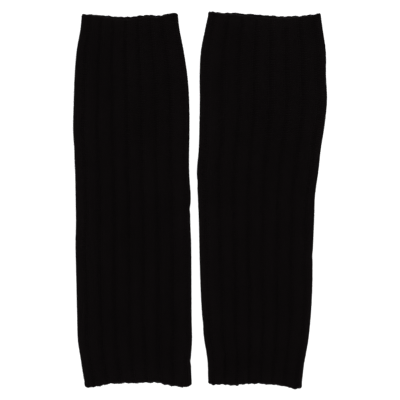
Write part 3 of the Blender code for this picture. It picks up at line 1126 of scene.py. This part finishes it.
class YarnSettings(bpy.types.PropertyGroup):
    """Colours and gloss of the yarn."""

    dark_colour: FloatVectorProperty(
        name="Dark Yarn",
        description="The darkest colour of the yarn",
        default=(0.0050, 0.00375, 0.00398),
        subtype="COLOR",
        min=0.0,
        max=1.0,
    )
    light_colour: FloatVectorProperty(
        name="Light Yarn",
        description="The lightest colour of the yarn",
        default=(0.0130, 0.00974, 0.0102),
        subtype="COLOR",
        min=0.0,
        max=1.0,
    )
    roughness: FloatProperty(
        name="Roughness",
        description="How matt the yarn is",
        default=0.7,
        min=0.1,
        max=0.95,
        subtype="FACTOR",
    )
    gloss: FloatProperty(
        name="Gloss",
        description="How strongly the yarn reflects light at its surface",
        default=0.12,
        min=0.0,
        max=1.0,
        subtype="FACTOR",
    )
    sheen: FloatProperty(
        name="Sheen",
        description="How much soft light the yarn's loose fibres catch",
        default=0.06,
        min=0.0,
        max=1.0,
        subtype="FACTOR",
    )
    fibre_colour: FloatVectorProperty(
        name="Fibre Colour",
        description="The tint of the light that the yarn and its loose fibres throw back",
        default=(1.0, 0.86, 0.88),
        subtype="COLOR",
        min=0.0,
        max=1.0,
    )


class StageSettings(bpy.types.PropertyGroup):
    """The floor, the lights and the camera."""

    field: FloatProperty(
        name="Field",
        description="Width of what the camera sees on the surface",
        default=0.48,
        unit="LENGTH",
    )
    height: FloatProperty(
        name="Camera Height",
        description="How far the camera stands over the surface",
        default=2.4,
        unit="LENGTH",
    )
    floor_colour: FloatVectorProperty(
        name="Floor",
        description="The colour of the floor",
        default=(0.9, 0.9, 0.9),
        subtype="COLOR",
        min=0.0,
        max=1.0,
    )
    floor_glow: FloatProperty(
        name="Floor Glow",
        description="Light that the floor gives by itself, as a light table does",
        default=0.95,
        min=0.0,
    )
    side_power: FloatProperty(
        name="Side Lights",
        description="Usual power of each of the low soft lights that stand round the pair",
        default=3.3,
        min=0.0,
        unit="POWER",
    )
    fill_strength: FloatProperty(
        name="Fill Light",
        description="Strength of the even light from all round",
        default=0.22,
        min=0.0,
    )


# ---------------------------------------------------------------- operators


def piece_name(leg, what):
    """What a piece of one tube is called."""
    return f"{leg.name}_{what}"


class LEGWARMERS_OT_grounds(bpy.types.Operator):
    """Lays down the ground of each tube, the closed wall that the stitches cover"""

    bl_idname = "legwarmers.grounds"
    bl_label = "Grounds"

    def execute(self, context):
        finish = yarn_finish("knit_ground", context.scene.yarn, follows_yarn=False)
        for leg in LEGS:
            mesh = ground_mesh(leg, context.scene.knit)
            show_piece(piece_name(leg, "ground"), mesh, finish, leg)
        return {"FINISHED"}


class LEGWARMERS_OT_stitches(bpy.types.Operator):
    """Covers each tube with the knit stitches of its ribs and the purl stitches of its grooves"""

    bl_idname = "legwarmers.stitches"
    bl_label = "Stitches"

    def execute(self, context):
        finish = yarn_finish("knit_yarn", context.scene.yarn, follows_yarn=True)
        for leg in LEGS:
            for kind in (KNIT, PURL):
                for under in (False, True):
                    layer = "under" if under else "upper"
                    mesh = layer_mesh(leg, context.scene.knit, kind, under)
                    name = piece_name(leg, f"{layer}_{kind.name}_stitches")
                    show_piece(name, mesh, finish, leg)
        return {"FINISHED"}


class LEGWARMERS_OT_rims(bpy.types.Operator):
    """Binds off the top of each tube with a chain and casts on its hem"""

    bl_idname = "legwarmers.rims"
    bl_label = "Rims"

    def execute(self, context):
        finish = yarn_finish("rim_yarn", context.scene.yarn, follows_yarn=True)
        knit = context.scene.knit
        for leg in LEGS:
            chain = rim_mesh(leg, knit, chain_link, at_top=True)
            show_piece(piece_name(leg, "bound_off_top"), chain, finish, leg)
            cord = rim_mesh(leg, knit, cast_turn, at_top=False)
            show_piece(piece_name(leg, "cast_on_hem"), cord, finish, leg)
        return {"FINISHED"}


class LEGWARMERS_OT_mouths(bpy.types.Operator):
    """Knits the few courses of the inner face that show at each mouth"""

    bl_idname = "legwarmers.mouths"
    bl_label = "Mouths"

    def execute(self, context):
        finish = yarn_finish("inner_yarn", context.scene.yarn, follows_yarn=True)
        for leg in LEGS:
            for end in ("top", "hem"):
                for kind in (KNIT_INSIDE, PURL_INSIDE):
                    mesh = inside_mesh(leg, context.scene.knit, kind, end == "top")
                    name = piece_name(leg, f"{end}_inner_{kind.name}_stitches")
                    show_piece(name, mesh, finish, leg)
        return {"FINISHED"}


class LEGWARMERS_OT_cloth(bpy.types.Operator):
    """Makes no change: the tubes stay as the other steps leave them"""

    bl_idname = "legwarmers.cloth"
    bl_label = "Cloth"

    def execute(self, context):
        return {"FINISHED"}


class LEGWARMERS_OT_stage(bpy.types.Operator):
    """Sets a pale floor, soft studio light and a camera that looks straight down"""

    bl_idname = "legwarmers.stage"
    bl_label = "Stage"

    def execute(self, context):
        stage = context.scene.stage
        add_floor(stage)
        add_lights(stage)
        add_camera(stage)
        context.scene.view_settings.view_transform = "Standard"
        return {"FINISHED"}


# ---------------------------------------------------------------- the add-on

PIECES = (
    LEGWARMERS_OT_grounds,
    LEGWARMERS_OT_stitches,
    LEGWARMERS_OT_rims,
    LEGWARMERS_OT_mouths,
    LEGWARMERS_OT_cloth,
    LEGWARMERS_OT_stage,
)
GROUPS = (("knit", KnitSettings), ("yarn", YarnSettings), ("stage", StageSettings))


class LEGWARMERS_PT_panel(bpy.types.Panel):
    """The steps that make the pair, in order, over the settings that they read"""

    bl_idname = "LEGWARMERS_PT_panel"
    bl_label = "Leg Warmers"
    bl_space_type = "VIEW_3D"
    bl_region_type = "UI"
    bl_category = "Leg Warmers"

    def draw(self, context):
        for operator in PIECES:
            self.layout.operator(operator.bl_idname)
        for name, group in GROUPS:
            box = self.layout.box()
            for setting in group.__annotations__:
                box.prop(getattr(context.scene, name), setting)


def register():
    """Adds the settings, the steps and the panel to Blender."""
    for name, group in GROUPS:
        bpy.utils.register_class(group)
        setattr(bpy.types.Scene, name, PointerProperty(type=group))
    for operator in PIECES:
        bpy.utils.register_class(operator)
    bpy.utils.register_class(LEGWARMERS_PT_panel)


def unregister():
    """Takes them out again."""
    bpy.utils.unregister_class(LEGWARMERS_PT_panel)
    for operator in reversed(PIECES):
        bpy.utils.unregister_class(operator)
    for name, group in reversed(GROUPS):
        delattr(bpy.types.Scene, name)
        bpy.utils.unregister_class(group)


def main():
    """Makes the pair and its stage, without the camera and lamp that Blender starts with."""
    for o in [o for o in bpy.data.objects if o.type in ("CAMERA", "LIGHT")]:
        bpy.data.objects.remove(o)
    register()
    for operator in PIECES:
        group, step = operator.bl_idname.split(".")
        getattr(getattr(bpy.ops, group), step)()


if __name__ == "__main__":
    main()
